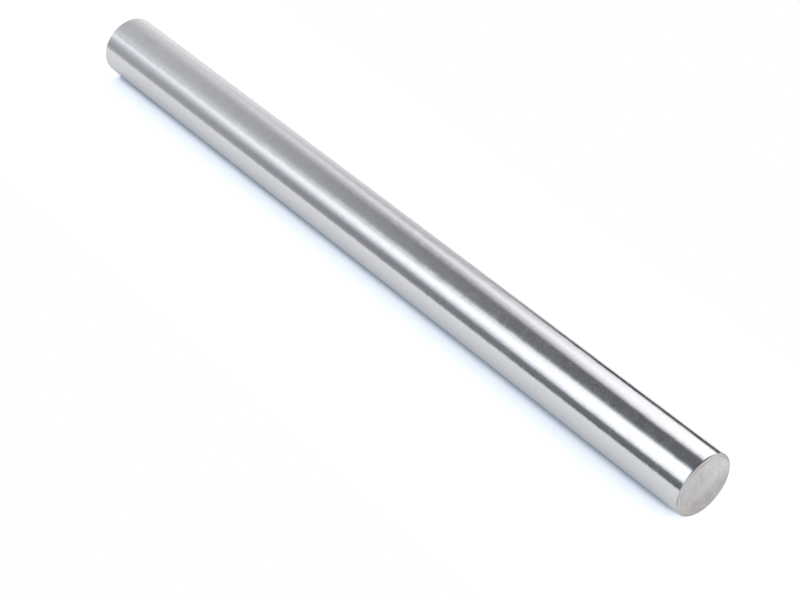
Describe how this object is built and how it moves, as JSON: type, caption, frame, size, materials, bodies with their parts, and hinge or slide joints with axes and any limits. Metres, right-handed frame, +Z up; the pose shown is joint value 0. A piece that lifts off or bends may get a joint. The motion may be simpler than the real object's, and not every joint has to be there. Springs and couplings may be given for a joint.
{
  "type": "round metal bar",
  "caption": "Straight solid round steel bar, ground and hard-chromed to a bright finish, with square faced and chamfered ends, for use as shaft, guide rod or turning stock.",
  "frame": {"origin": "under the middle of the bar, on the surface that it lies on", "axes": "+X along the bar, +Z up; the bar's axis is half a diameter above the origin"},
  "size_m": [0.4, 0.03, 0.03],
  "materials": {
    "chromed_steel": "polished"
  },
  "bodies": {
    "root": {"round_bar": "chromed_steel"}
  },
  "joints": []
}
